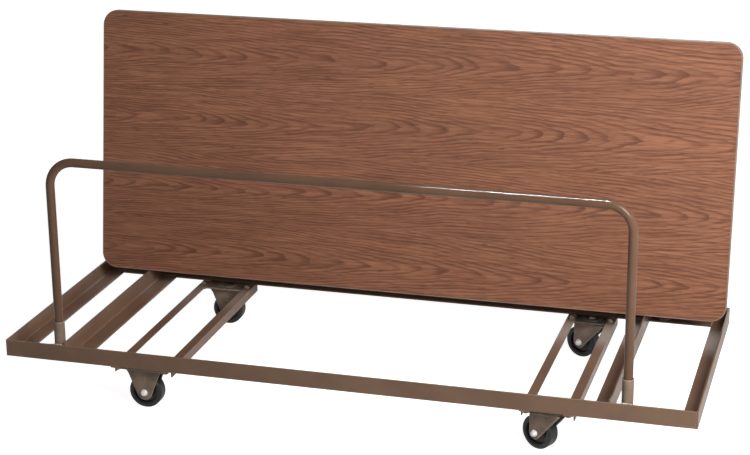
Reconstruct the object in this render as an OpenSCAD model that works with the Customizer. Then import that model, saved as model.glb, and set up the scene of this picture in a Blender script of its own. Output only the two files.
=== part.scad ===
// Banquet table trolley: an angle-iron tray on two rigid and two swivel casters,
// with a bent tube handle plugged into sockets along the front and the rear rail,
// and one folding table standing on edge in the tray, leaning on the rear handle.
// Frame coordinates: x from the left end, y from the front face, z from the underside of the rails.

/* [Frame] */
// Length of the tray over its end rails
frame_l = 1840; // [1700:5:2100]
// Depth of the tray over its front and rear rails
frame_w = 730; // [650:5:900]
// Leg width of the angle iron of the rails
rail_leg = 45; // [40:1:55]
// Leg width of the angle iron of the two table bearers
bearer_leg = 50; // [40:1:60]
// Thickness of the angle iron of the rails and the table bearers
rail_t = 5; // [4:0.5:6]
// Root fillet inside each angle iron
root_r = 3; // [1:0.5:3]
// Rounding of the toes of each angle iron
toe_r = 2; // [0.5:0.5:2]
// Gap left for the weld between coped pieces
weld_gap = 0.3; // [0.2:0.1:0.6]
// Left table bearer's upright, from the left end
left_bearer_inset = 165; // [120:1:220]
// Right table bearer's upright, from the right end
right_bearer_inset = 215; // [170:1:240]

/* [Caster bearers] */
// Leg width of the small angle iron that carries the casters
hanger_leg = 25; // [25:1:30]
// Thickness of that angle iron
hanger_t = 3; // [3:0.5:4]
// Length cut off its hanging leg at each end
hanger_notch = 26; // [0:1:40]
// Middle of the left pair, from the left end
left_pair_inset = 382; // [340:1:420]
// Middle of the right pair, from the right end
right_pair_inset = 374; // [340:1:420]
// Width of the left pair over its outer faces
left_pair_span = 162; // [156:1:180]
// Width of the right pair over its outer faces
right_pair_span = 136; // [136:1:160]

/* [Handles] */
// Outside diameter of the handle tube
tube_d = 23.4; // [20:0.2:26]
// Wall of the handle tube
tube_wall = 1.6; // [1.2:0.1:2]
// Height of the top tube's centre above the underside of the rails
handle_h = 548; // [450:1:650]
// Centreline radius of the bends
bend_r = 68; // [45:1:110]
// Radial clearance of a post in its socket
socket_gap = 0.8; // [0.4:0.1:1]
// Wall of a socket
socket_wall = 2.2; // [1.6:0.1:3]
// Height of a socket's mouth above the underside of the rails
socket_top = 106; // [80:1:140]
// Right sockets' axis, from the right end
right_socket_inset = 176; // [140:1:195]

/* [Casters] */
// Wheel diameter
wheel_d = 91; // [80:1:96]
// Tread width
wheel_w = 34; // [28:1:36]
// Thickness of the tyre
tyre_t = 10; // [7:0.5:12]
// Rounding of the tread's shoulders
shoulder_r = 5; // [3:0.5:6]
// How far the wheel's rim lies inside the tyre's side
rim_step = 1.5; // [0.5:0.1:3]
// Width of the ring moulded on the wheel's web
ridge_w = 4; // [2:0.5:6]
// How far that ring stands out
ridge_h = 2.5; // [1:0.5:4]
// Gap between a wheel's bush, core and tyre
seat_gap = 0.1; // [0.05:0.05:0.3]
// Drop from the underside of the rails to the axle
axle_drop = 76.5; // [74:0.5:95]
// Caster's middle, from the front or the rear face
caster_inset = 49; // [48:1:60]
// Sheet thickness of the caster pressings
sheet_t = 3.5; // [3:0.1:4]
// Depth of a caster's mounting plate
plate_w = 88; // [84:1:96]
// Corner rounding of a mounting plate
plate_r = 9; // [4:1:12]
// Running gap between a wheel's hub and its legs
hub_gap = 0.4; // [0.3:0.1:0.8]
// How far the hub stands out past each side of the tread
hub_proud = 2.5; // [1:0.5:4]
// Radius of a fork's boss round the axle
boss_r = 17; // [14:0.5:19]
// Radius of a rigid yoke's boss round the axle
yoke_boss_r = 21; // [16:0.5:24]
// Half width that the flanks of a yoke's leg reach at the plate
yoke_half = 50; // [40:1:52]
// Radius by which each flank sweeps out under the plate
flank_r = 28; // [10:1:30]
// How far that sweep's centre is drawn back, which leaves a short flat at both of its ends
flank_flat = 0.6; // [0.3:0.1:1]
// Cove between a yoke's leg and its plate
cove_r = 6; // [3:0.5:8]
// Width of the pressed stiffening bead on a yoke's leg
bead_w = 8; // [5:0.5:10]
// How far that bead stands out
bead_h = 1.2; // [0.6:0.1:1.6]
// Inside radius of the ring pressed up in a mounting plate
ring_inner_r = 16; // [12:0.5:18]
// How far that ring stands up
ring_h = 2.2; // [1.8:0.1:2.5]
// Rounding of that ring's edges
ring_r = 1.6; // [0.5:0.1:2]
// Width of the lip pressed out along a fork's sloping edge
lip_w = 3; // [2:0.5:5]
// How far that lip stands out from the leg
lip_h = 2; // [1:0.5:3]
// Flat edge left outside that lip
lip_edge = 0.5; // [0.3:0.1:2]
// Horizontal distance from the swivel axis to the axle
trail = 28; // [20:1:36]
// How far a fork's leg reaches forward of the swivel axis at its top
fork_nose = 48; // [40:1:48]
// Front right fork's turn about its swivel axis
front_swivel = -27; // [-180:1:180]
// Rear right fork's turn about its swivel axis
rear_swivel = -22; // [-180:1:180]

/* [Swivel bearing] */
// Bearing ball diameter
ball_d = 6; // [5:0.5:7]
// Number of balls in a race
ball_count = 16; // [8:1:18]
// Radius of the ball circle
race_r = 23; // [20:0.5:25]
// Outside radius of the races
race_outer_r = 29; // [27:0.5:31]
// Clearance of a ball in its grooves
ball_gap = 0.3; // [0.1:0.05:0.4]
// Opening between the two races
race_split = 2; // [1:0.1:2.5]
// Kingpin diameter
kingpin_d = 10; // [8:0.5:12]
// Clearance round and under the fork on its kingpin
kingpin_gap = 0.3; // [0.1:0.05:0.5]
// Clearance of the kingpin in its plate, on the radius
rivet_gap = 0.05; // [0.02:0.01:0.1]
// Diameter of the kingpin's domed head
kingpin_head_d = 22; // [16:0.5:23]
// Height of that head
kingpin_head_h = 2.4; // [1.5:0.1:2.6]

/* [Fasteners] */
// Axle and mounting bolt diameter
bolt_d = 8; // [6:0.5:10]
// Running clearance of a bush on its axle, on the radius
bush_gap = 0.05; // [0.02:0.01:0.1]
// Wall of a wheel's bush
bush_wall = 3; // [2:0.5:4]
// Clearance of a bolt in its hole, on the diameter
hole_gap = 1; // [0.6:0.1:1.5]
// Bolt head and nut size across corners
hex_d = 15; // [12:0.5:16]
// Height of a bolt head
head_h = 5.3; // [4:0.1:6]
// Height of a nut
nut_h = 6.5; // [5:0.1:8]
// Diameter of the flange under an axle's head and its nut
flange_d = 18; // [16:0.5:20]
// Thickness of that flange
flange_t = 1.6; // [1:0.1:2.5]
// How far a bolt stands out of its nut
bolt_proud = 2; // [1:0.5:4]
// Mounting bolts' distance from the outer face of a caster bearer
bolt_inset = 14; // [13:0.5:15]
// Distance between the mounting bolts along a caster bearer
bolt_pitch = 64; // [63:0.5:65]
// Plate left outside a mounting bolt's middle
bolt_edge = 8; // [7:0.5:9]

/* [Table] */
// Table length
table_l = 1820; // [1700:1:2000]
// Table width, standing upright
table_h = 756; // [700:1:800]
// Table's left end, from the left end of the tray
table_x = 22; // [0:1:40]
// Backward lean of the table
lean = 8; // [6:0.5:12]
// Corner rounding of the table
table_r = 44; // [20:1:80]
// Core thickness
core_t = 17; // [12:0.5:25]
// Thickness of the face laminate and of the back sheet
skin_t = 1; // [0.8:0.1:2]
// Thickness of the edge band
edge_t = 3; // [2:0.5:5]
// Rounding of the edge band's two outer corners
edge_r = 2; // [0.5:0.1:2]
// Gap between the edge band and the board inside it
edge_gap = 0.1; // [0.05:0.05:0.3]
// Gap between pieces that only lean or stand on each other
rest_gap = 0.3; // [0.1:0.1:0.5]

/* [Folded legs] */
// Tube diameter of the folded legs
leg_d = 19; // [16:0.5:25]
// Wall of that tube
leg_wall = 1.5; // [1.2:0.1:2]
// Pivot tube of a leg frame, from its end of the table
leg_pivot_x = 230; // [180:1:280]
// Reach of a leg frame from its pivot to its feet
leg_reach = 640; // [500:5:660]
// Leg tubes, from the long edges of the table
leg_inset = 140; // [100:1:160]
// Centreline radius of a leg frame's bends
leg_bend_r = 50; // [35:1:60]
// Distance of the stretcher from the feet
stretcher_x = 170; // [80:5:250]
// Stretcher rod diameter
stretcher_d = 12; // [8:0.5:14]
// Sheet thickness of the clamps that hold the pivot tubes
clamp_t = 2.5; // [1.5:0.1:3]
// Length of a clamp along the pivot tube
clamp_l = 30; // [20:1:40]
// Reach of a clamp's ears to each side of its tube
clamp_ear = 16; // [12:1:24]
// Clearance of a leg frame in its clamps and against the table
leg_gap = 0.2; // [0.1:0.05:0.4]
// Length of a foot beyond its tube
foot_l = 8; // [4:1:14]
// Length of a foot's plug inside its tube
foot_plug = 18; // [10:1:25]

/* [Hidden] */
$fn = 64;

enamel = [0.38, 0.30, 0.25];
zinc = [0.85, 0.85, 0.83];
rubber = [0.08, 0.08, 0.08];
wood_face = [0.56, 0.34, 0.23];
wood_core = [0.72, 0.58, 0.42];
back_brown = [0.36, 0.26, 0.20];

// Cutting tools run this far past the faces they cut
over = 1;

// Sockets and handles
socket_d = tube_d + 2 * (socket_gap + socket_wall);
socket_y = rail_t + weld_gap + socket_d / 2;
left_socket_x = left_bearer_inset - weld_gap - socket_d / 2;
right_socket_x = frame_l - right_socket_inset;
handle_span = right_socket_x - left_socket_x;
post_h = handle_h - rail_t - bend_r;

// Casters
wheel_r = wheel_d / 2;
frame_z = wheel_r + axle_drop;
plate_top = axle_drop - hanger_t;
plate_bottom = plate_top - sheet_t;
leg_inner = wheel_w / 2 + hub_proud + hub_gap;
leg_outer = leg_inner + sheet_t;
left_bolt_x = left_pair_span / 2 - bolt_inset;
right_bolt_x = right_pair_span / 2 - bolt_inset;
left_caster_x = left_pair_inset;
right_caster_x = frame_l - right_pair_inset;
rear_caster_y = frame_w - caster_inset;
hole_d = bolt_d + hole_gap;
// Each caster: x, y, turn about the upright axis, trail, half distance of its bolts along x
front_left = [left_caster_x, caster_inset, 0, 0, left_bolt_x];
rear_left = [left_caster_x, rear_caster_y, 0, 0, left_bolt_x];
front_right = [right_caster_x, caster_inset, front_swivel, trail, right_bolt_x];
rear_right = [right_caster_x, rear_caster_y, rear_swivel, trail, right_bolt_x];
casters = [front_left, rear_left, front_right, rear_right];

// Swivel bearing, heights above the axle
ball_r = ball_d / 2;
race_depth = ball_r - race_split / 2;
upper_race_z = plate_bottom - race_depth - sheet_t / 2;
crown_top = upper_race_z - race_split;
crown_bottom = crown_top - race_depth - sheet_t;
ball_z = upper_race_z - race_split / 2;

// Table, in its own plane: v runs up the board, w out of its back
panel_t = core_t + 2 * skin_t;
clamp_depth = 2 * leg_gap + leg_d + clamp_t;
rear_handle_y = frame_w - socket_y;
lean_w = clamp_depth + rest_gap + tube_d / 2;
stand_z = bearer_leg + rest_gap;
lean_v = (handle_h - stand_z + lean_w * sin(lean)) / cos(lean);
table_back_y = rear_handle_y - lean_v * sin(lean) - lean_w * cos(lean);
table_y = table_back_y - panel_t * cos(lean);
table_z = stand_z + panel_t * sin(lean);
leg_depth = panel_t + leg_gap + leg_d / 2;
upper_leg_v = table_h - leg_inset;

// How far a turned wheel reaches from its middle across the tray
function wheel_reach(turn) =
  (wheel_r - shoulder_r) * abs(sin(turn)) + (wheel_w / 2 - shoulder_r) * abs(cos(turn)) + shoulder_r;

// The part's origin is the middle of its outline, on the floor
table_top_y = table_back_y + table_h * sin(lean);
leg_tube_y = table_y + leg_depth * cos(lean) + upper_leg_v * sin(lean) + leg_d / 2;
rear_wheel_y = rear_caster_y - trail * sin(rear_swivel) + wheel_reach(rear_swivel);
front_wheel_y = caster_inset - trail * sin(front_swivel) - wheel_reach(front_swivel);
origin_x = max(frame_l, table_x + table_l) / 2;
origin_y = (max(frame_w, table_top_y, leg_tube_y, rear_wheel_y) + min(0, front_wheel_y)) / 2;

module at_frame() {
  translate([-origin_x, -origin_y, frame_z]) children();
}

// Middle of a caster's mounting plate, with z = 0 at the height of the axle
module at_plate(c) {
  at_frame() translate([c[0], c[1], -axle_drop]) children();
}

// Swivel axis, turned with the fork
module at_swivel(c) {
  at_plate(c) rotate([0, 0, c[2]]) children();
}

module at_axle(c) {
  at_swivel(c) translate([-c[3], 0, 0]) children();
}

// Table's own plane: x along the table, y from its face to its back, z up the board
module at_table() {
  at_frame() translate([table_x, table_y, table_z]) rotate([-lean, 0, 0]) children();
}

module rear_side() {
  translate([0, frame_w, 0]) mirror([0, 1, 0]) children();
}

module right_side() {
  translate([frame_l, 0, 0]) mirror([1, 0, 0]) children();
}

// Hot-rolled angle: two legs, a root fillet and rounded toes
module angle_profile(leg, t) {
  toe = min(toe_r, t / 2);
  for (turn = [0, 1]) mirror([turn, -turn]) {
    square([leg - toe, t]);
    square([leg, t - toe]);
    translate([leg - toe, t - toe]) circle(toe);
  }
  difference() {
    square(t + root_r);
    translate([t + root_r, t + root_r]) circle(root_r);
  }
}

module angle_along_x(leg, t, length) {
  rotate([90, 0, 90]) linear_extrude(length) angle_profile(leg, t);
}

module angle_along_y(leg, t, length) {
  translate([0, length, 0]) rotate([90, 0, 0]) linear_extrude(length) angle_profile(leg, t);
}

// Space that a rail takes from the piece coped round it
module end_rail_cope() {
  translate([0, -over, 0]) angle_along_y(rail_leg + weld_gap, rail_t + weld_gap, frame_w + 2 * over);
}

module long_rail_cope() {
  translate([-over, 0, 0]) angle_along_x(rail_leg + weld_gap, rail_t + weld_gap, frame_l + 2 * over);
}

module long_rail() {
  difference() {
    angle_along_x(rail_leg, rail_t, frame_l);
    end_rail_cope();
    right_side() end_rail_cope();
    for (c = [front_left, front_right], x = [-c[4], c[4]], y = [-bolt_pitch, bolt_pitch] / 2)
      translate([c[0] + x, c[1] + y, -over]) cylinder(d = hole_d, h = rail_leg);
  }
}

module end_rail() {
  angle_along_y(rail_leg, rail_t, frame_w);
}

module table_bearer() {
  difference() {
    angle_along_y(bearer_leg, rail_t, frame_w);
    translate([-rail_leg, 0, 0]) long_rail_cope();
    translate([-rail_leg, 0, 0]) rear_side() long_rail_cope();
    translate([-over, -over, -over]) cube([bearer_leg + 2 * over, rail_t + weld_gap + over, frame_w]);
    translate([-over, frame_w - rail_t - weld_gap, -over])
      cube([bearer_leg + 2 * over, rail_t + weld_gap + over, frame_w]);
  }
}

// Small angle hung under the rails, outer face at x = 0, its hanging leg cut back at both ends
module caster_bearer() {
  difference() {
    mirror([0, 0, 1]) angle_along_y(hanger_leg, hanger_t, frame_w);
    for (y = [caster_inset, rear_caster_y], step = [-bolt_pitch, bolt_pitch] / 2)
      translate([bolt_inset, y + step, -hanger_leg]) cylinder(d = hole_d, h = 2 * hanger_leg);
    for (y = [-over, frame_w - hanger_notch])
      translate([-over, y, -hanger_leg - over])
        cube([hanger_leg + 2 * over, hanger_notch + over, hanger_leg + over - hanger_t]);
  }
}

module socket_tube() {
  difference() {
    translate([0, socket_y, rail_t]) cylinder(d = socket_d, h = socket_top - rail_t);
    translate([0, socket_y, 0]) cylinder(d = tube_d + 2 * socket_gap, h = socket_top + over);
    translate([-frame_l / 2, 0, 0]) angle_along_x(rail_leg, rail_t, frame_l);
  }
}

module tube_ring(d, wall) {
  difference() {
    circle(d = d);
    circle(d = d - 2 * wall);
  }
}

// Upright leg and bend of a U-shaped tube, rising from the origin and turning to +x
module tube_corner(d, wall, upright, r) {
  linear_extrude(upright) tube_ring(d, wall);
  translate([r, 0, upright]) rotate([90, 0, 0]) rotate([0, 0, 90])
    rotate_extrude(angle = 90) translate([r, 0]) tube_ring(d, wall);
}

module tube_u(d, wall, upright, r, span) {
  tube_corner(d, wall, upright, r);
  translate([span, 0, 0]) mirror([1, 0, 0]) tube_corner(d, wall, upright, r);
  translate([r, 0, upright + r]) rotate([0, 90, 0]) linear_extrude(span - 2 * r) tube_ring(d, wall);
}

module handle_tube() {
  translate([left_socket_x, socket_y, rail_t]) tube_u(tube_d, tube_wall, post_h, bend_r, handle_span);
}

module rounded_plate(size, r) {
  translate([r, 0]) square([size[0] - 2 * r, size[1]]);
  translate([0, r]) square([size[0], size[1] - 2 * r]);
  for (x = [r, size[0] - r], y = [r, size[1] - r]) translate([x, y]) circle(r);
}

// Mounting plate of a caster with its four bolt holes
module mounting_plate(bolt_x) {
  plate_l = 2 * (bolt_x + bolt_edge);
  translate([0, 0, plate_bottom]) linear_extrude(sheet_t) difference() {
    translate([-plate_l, -plate_w] / 2) rounded_plate([plate_l, plate_w], plate_r);
    for (x = [-bolt_x, bolt_x], y = [-bolt_pitch, bolt_pitch] / 2) translate([x, y]) circle(d = hole_d);
  }
  pressed_ring();
}

// Round-edged ring pressed up in the middle of a mounting plate
module pressed_ring() {
  ring_w = race_outer_r - ring_inner_r;
  translate([0, 0, plate_top]) rotate_extrude() translate([ring_inner_r, 0]) {
    square([ring_w, ring_h - ring_r]);
    translate([ring_r, 0]) square([ring_w - 2 * ring_r, ring_h]);
    for (x = [ring_r, ring_w - ring_r]) translate([x, ring_h - ring_r]) intersection() {
      circle(ring_r);
      translate([-ring_r, 0]) square([2 * ring_r, ring_r]);
    }
  }
}

// A pressed leg's outline stands in x and z; this lays its sheet along the wheel's side
module leg_sheet() {
  for (side = [0, 1]) mirror([0, side, 0])
    translate([0, leg_outer, 0]) rotate([90, 0, 0]) linear_extrude(sheet_t) children();
}

// Lower point where a line from p touches a circle of radius r round c, p being up and to the right of it
function touch(c, r, p) =
  let (d = p - c, turn = atan2(d[1], d[0]) - acos(r / norm(d)))
  c + r * [cos(turn), sin(turn)];

// Rigid leg: a round boss and straight flanks that touch it, each swept out under the plate by an arc
module yoke_outline() {
  corner = [yoke_half, plate_bottom];
  flank_end = touch([0, 0], yoke_boss_r, corner);
  flank = (flank_end - corner) / norm(flank_end - corner);
  sweep = flank_r / tan(acos(flank[0]) / 2);
  hollow = [sweep, -flank_r];
  difference() {
    union() {
      circle(yoke_boss_r);
      for (side = [0, 1]) mirror([side, 0]) difference() {
        polygon([[0, 0], flank_end, corner + sweep * flank, corner + [sweep, 0], [0, plate_bottom]]);
        translate(corner + hollow * (1 + flank_flat / norm(hollow))) circle(flank_r, $fn = 96);
      }
    }
    circle(d = hole_d);
  }
}

module rigid_yoke() {
  mounting_plate(left_bolt_x);
  leg_sheet() yoke_outline();
  for (side = [0, 1]) mirror([0, side, 0]) {
    translate([-yoke_half, leg_outer, plate_bottom - cove_r]) rotate([90, 0, 90])
      linear_extrude(2 * yoke_half) difference() {
        square(cove_r);
        translate([cove_r, 0]) circle(cove_r);
      }
    yoke_bead();
  }
}

// Pressed bead up the middle of a rigid leg, with round ends
module yoke_bead() {
  bead_r = (bead_w * bead_w / 4 + bead_h * bead_h) / (2 * bead_h);
  bead_low = yoke_boss_r + bead_w;
  bead_top = plate_bottom - cove_r;
  intersection() {
    translate([0, leg_outer + bead_h - bead_r, bead_low]) cylinder(r = bead_r, h = bead_top - bead_low);
    translate([-bead_w / 2, leg_outer, bead_low]) cube([bead_w, bead_h + over, bead_top - bead_low]);
  }
}

// Groove for the ball ring
module ball_groove() {
  translate([0, 0, ball_z]) rotate_extrude() translate([race_r, 0]) circle(ball_r + ball_gap);
}

module swivel_plate() {
  difference() {
    union() {
      mounting_plate(right_bolt_x);
      translate([0, 0, upper_race_z]) cylinder(r = race_outer_r, h = plate_bottom - upper_race_z);
    }
    translate([0, 0, upper_race_z - over]) cylinder(d = kingpin_d + 2 * rivet_gap, h = plate_top);
    ball_groove();
  }
}

module ball_ring() {
  for (i = [0 : ball_count - 1])
    rotate([0, 0, 360 * i / ball_count]) translate([race_r, 0, ball_z]) sphere(ball_r);
}

// Rivet with a low dome on the plate and a flat head under the fork's crown
module kingpin() {
  head_r = kingpin_head_d / 2;
  dome_r = (head_r * head_r + kingpin_head_h * kingpin_head_h) / (2 * kingpin_head_h);
  foot_top = crown_bottom - kingpin_gap;
  translate([0, 0, foot_top]) cylinder(d = kingpin_d, h = plate_top - foot_top);
  translate([0, 0, foot_top - sheet_t]) cylinder(d = 2 * kingpin_d, h = sheet_t);
  intersection() {
    translate([0, 0, plate_top + kingpin_head_h - dome_r]) sphere(dome_r);
    translate([0, 0, plate_top]) cylinder(d = kingpin_head_d, h = kingpin_head_h);
  }
}

// A fork's slope runs from the crown's nose down to where it touches the boss
fork_axle = [-trail, 0];
fork_heel_x = -trail - boss_r;
slope_top = [fork_nose, crown_top];
slope_end = touch(fork_axle, boss_r, slope_top);

// Raked leg: straight behind the axle, sloping in front of it
module fork_outline() {
  difference() {
    union() {
      translate(fork_axle) circle(boss_r);
      polygon([[fork_heel_x, crown_top], slope_top, slope_end, fork_axle, [fork_heel_x, 0]]);
    }
    translate(fork_axle) circle(d = hole_d);
  }
}

// Lip pressed outwards along a leg's slope, from the boss to the crown
module fork_lip() {
  inward = (fork_axle - slope_end) / boss_r;
  lip_in = lip_edge + lip_w;
  translate([0, leg_outer + lip_h, 0]) rotate([90, 0, 0]) linear_extrude(lip_h) polygon([
    slope_top + [lip_edge / inward[0], 0], slope_end + lip_edge * inward,
    slope_end + lip_in * inward, slope_top + [lip_in / inward[0], 0]
  ]);
}

module swivel_fork() {
  difference() {
    union() {
      leg_sheet() fork_outline();
      for (side = [0, 1]) mirror([0, side, 0]) fork_lip();
      translate([0, 0, crown_bottom]) cylinder(r = race_outer_r, h = crown_top - crown_bottom);
      translate([fork_heel_x, -leg_outer, crown_bottom])
        cube([fork_nose - boss_r - fork_heel_x, 2 * leg_outer, crown_top - crown_bottom]);
    }
    translate([0, 0, crown_bottom - over]) cylinder(d = kingpin_d + 2 * kingpin_gap, h = plate_top);
    ball_groove();
  }
}

// Axle bolt along y, its flanged nut towards the front
module axle_bolt() {
  shank = 2 * leg_outer + flange_t + nut_h + bolt_proud;
  translate([0, leg_outer, 0]) rotate([90, 0, 0]) cylinder(d = bolt_d, h = shank);
  translate([0, leg_outer, 0]) rotate([-90, 0, 0]) {
    cylinder(d = flange_d, h = flange_t);
    cylinder(d = hex_d, h = flange_t + head_h, $fn = 6);
  }
}

module hex_nut() {
  difference() {
    cylinder(d = hex_d, h = nut_h, $fn = 6);
    translate([0, 0, -over]) cylinder(d = bolt_d + 2 * bush_gap, h = nut_h + 2 * over);
  }
}

module axle_nut() {
  translate([0, -leg_outer, 0]) rotate([90, 0, 0]) {
    translate([0, 0, flange_t]) hex_nut();
    linear_extrude(flange_t) tube_ring(flange_d, (flange_d - bolt_d) / 2 - bush_gap);
  }
}

module wheel_turn() {
  rotate([90, 0, 0]) rotate_extrude($fn = 96) children();
}

bush_bore_r = bolt_d / 2 + bush_gap;
bush_r = bush_bore_r + bush_wall;
hub_half = wheel_w / 2 + hub_proud;
tyre_seat_r = wheel_r - tyre_t;

module bush() {
  wheel_turn() translate([bush_bore_r, -hub_half]) square([bush_wall, 2 * hub_half]);
}

// Wheel body: hub and rim joined by a dished web with a moulded ring on each side
module wheel_core() {
  hub_r = bush_r + bush_wall;
  rim_r = tyre_seat_r - bush_wall;
  web_half = wheel_w / 5;
  rim_half = wheel_w / 2 - rim_step;
  ridge_r = (hub_r + rim_r) / 2;
  one_side = [
    [bush_r + seat_gap, hub_half], [hub_r, hub_half],
    [hub_r + bush_wall, web_half], [ridge_r - ridge_w / 2, web_half],
    [ridge_r - ridge_w / 4, web_half + ridge_h], [ridge_r + ridge_w / 4, web_half + ridge_h],
    [ridge_r + ridge_w / 2, web_half], [rim_r - bush_wall, web_half],
    [rim_r, rim_half], [tyre_seat_r - seat_gap, rim_half]
  ];
  other_side = [for (i = [len(one_side) - 1 : -1 : 0]) [one_side[i][0], -one_side[i][1]]];
  wheel_turn() polygon(concat(one_side, other_side));
}

// Tyre with rounded shoulders
module tyre() {
  half = wheel_w / 2;
  wheel_turn() {
    translate([tyre_seat_r, -half]) square([tyre_t - shoulder_r, wheel_w]);
    translate([tyre_seat_r, shoulder_r - half]) square([tyre_t, wheel_w - 2 * shoulder_r]);
    for (side = [-1, 1]) translate([wheel_r - shoulder_r, side * (half - shoulder_r)]) circle(shoulder_r);
  }
}

// Each mounting bolt: x, y and the height of the face its nut sits on.
// The bolts nearer the edge of the tray also pass through a long rail's flange.
mounting_points = [
  for (c = casters, x = [-c[4], c[4]], y = [-bolt_pitch, bolt_pitch] / 2)
    let (from_edge = min(c[1] + y, frame_w - c[1] - y))
    [c[0] + x, c[1] + y, from_edge < rail_leg ? rail_t : 0]
];

module caster_bolt(grip_top) {
  head_z = -hanger_t - sheet_t;
  translate([0, 0, head_z - head_h]) cylinder(d = hex_d, h = head_h, $fn = 6);
  translate([0, 0, head_z]) cylinder(d = bolt_d, h = grip_top + nut_h + bolt_proud - head_z);
}

module table_sheet(inset, depth, t) {
  translate([inset, depth + t, inset]) rotate([90, 0, 0]) linear_extrude(t)
    rounded_plate([table_l - 2 * inset, table_h - 2 * inset], table_r - inset);
}

// Edge band's cross-section: flat on the board, its two outer corners rounded
module edge_profile() {
  intersection() {
    translate([table_r - edge_t, 0]) square([edge_t, panel_t]);
    union() {
      square([table_r - edge_r, panel_t]);
      translate([0, edge_r]) square([table_r, panel_t - 2 * edge_r]);
      for (y = [edge_r, panel_t - edge_r]) translate([table_r - edge_r, y]) circle(edge_r);
    }
  }
}

// Each corner's middle, the turn where its arc starts, and the run that leads up to it
table_corners = [
  [table_r, table_r, 180, table_h - 2 * table_r],
  [table_l - table_r, table_r, 270, table_l - 2 * table_r],
  [table_l - table_r, table_h - table_r, 0, table_h - 2 * table_r],
  [table_r, table_h - table_r, 90, table_l - 2 * table_r]
];

module edge_band() {
  translate([0, panel_t, 0]) rotate([90, 0, 0])
    for (c = table_corners) translate([c[0], c[1], 0]) rotate([0, 0, c[2]]) {
      rotate_extrude(angle = 90) edge_profile();
      rotate([90, 0, 0]) linear_extrude(c[3]) edge_profile();
    }
}

// Folded leg frame: pivot tube and two legs in one bent tube, and a stretcher rod near the feet
module leg_frame() {
  leg_span = table_h - 2 * leg_inset;
  legs = leg_reach - leg_bend_r;
  difference() {
    translate([leg_pivot_x + leg_reach, leg_depth, leg_inset]) rotate([0, -90, 0])
      tube_u(leg_d, leg_wall, legs, leg_bend_r, leg_span);
    leg_stretcher();
  }
  leg_stretcher();
}

module leg_stretcher() {
  translate([leg_pivot_x + leg_reach - stretcher_x, leg_depth, leg_inset + leg_d / 2 - leg_wall])
    cylinder(d = stretcher_d, h = table_h - 2 * leg_inset - leg_d + 2 * leg_wall);
}

// Saddle clamp over a pivot tube, its ears flat on the table's back
module leg_clamp() {
  inner_r = leg_d / 2 + leg_gap;
  outer_r = inner_r + clamp_t;
  to_back = leg_depth - panel_t;
  linear_extrude(clamp_l, center = true) difference() {
    union() {
      circle(outer_r);
      translate([-outer_r, -to_back]) square([2 * outer_r, to_back]);
      translate([-outer_r - clamp_ear, -to_back]) square([2 * (outer_r + clamp_ear), clamp_t]);
    }
    circle(inner_r);
    translate([-inner_r, -to_back - over]) square([2 * inner_r, to_back + over]);
    translate([-outer_r, -to_back - 2 * outer_r]) square(2 * outer_r);
  }
}

module leg_foot() {
  rotate([0, 90, 0]) {
    cylinder(d = leg_d, h = foot_l);
    translate([0, 0, -foot_plug]) cylinder(d = leg_d - 2 * (leg_wall + leg_gap), h = foot_plug + over);
  }
}

module table_right_side() {
  translate([table_l, 0, 0]) mirror([1, 0, 0]) children();
}

// Welded tray
module front_rail() { color(enamel) at_frame() long_rail(); }
module rear_rail() { color(enamel) at_frame() rear_side() long_rail(); }
module left_end_rail() { color(enamel) at_frame() end_rail(); }
module right_end_rail() { color(enamel) at_frame() right_side() end_rail(); }
module left_table_bearer() {
  color(enamel) at_frame() translate([left_bearer_inset, 0, 0]) table_bearer();
}
module right_table_bearer() {
  color(enamel) at_frame() right_side() translate([right_bearer_inset, 0, 0]) table_bearer();
}
module hung_bearer(middle, span, side) {
  color(enamel) at_frame() translate([middle - side * span / 2, 0, 0])
    mirror([side < 0 ? 1 : 0, 0, 0]) caster_bearer();
}
module socket_at(x) { color(enamel) at_frame() translate([x, 0, 0]) socket_tube(); }
module rear_socket_at(x) { color(enamel) at_frame() rear_side() translate([x, 0, 0]) socket_tube(); }
module front_handle() { color(enamel) at_frame() handle_tube(); }
module rear_handle() { color(enamel) at_frame() rear_side() handle_tube(); }

// Casters
module caster_bolts() {
  color(zinc) at_frame() for (p = mounting_points) translate([p[0], p[1], 0]) caster_bolt(p[2]);
}
module caster_nuts() {
  color(zinc) at_frame() for (p = mounting_points) translate(p) hex_nut();
}

// Table
module table_core() { color(wood_core) at_table() table_sheet(edge_t + edge_gap, skin_t, core_t); }
module table_face() { color(wood_face) at_table() table_sheet(edge_t + edge_gap, 0, skin_t); }
module table_back_sheet() {
  color(back_brown) at_table() table_sheet(edge_t + edge_gap, skin_t + core_t, skin_t);
}
module table_edge_band() { color(rubber) at_table() edge_band(); }
module left_leg_frame() { color(enamel) at_table() leg_frame(); }
module right_leg_frame() { color(enamel) at_table() table_right_side() leg_frame(); }
module leg_clamps() {
  color(zinc) at_table() for (x = [leg_pivot_x, table_l - leg_pivot_x], v = [lean_v, table_h - lean_v])
    translate([x, leg_depth, v]) leg_clamp();
}
module leg_feet() {
  color(rubber) at_table() for (v = [leg_inset, upper_leg_v]) {
    translate([leg_pivot_x + leg_reach, leg_depth, v]) leg_foot();
    table_right_side() translate([leg_pivot_x + leg_reach, leg_depth, v]) leg_foot();
  }
}

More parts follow.
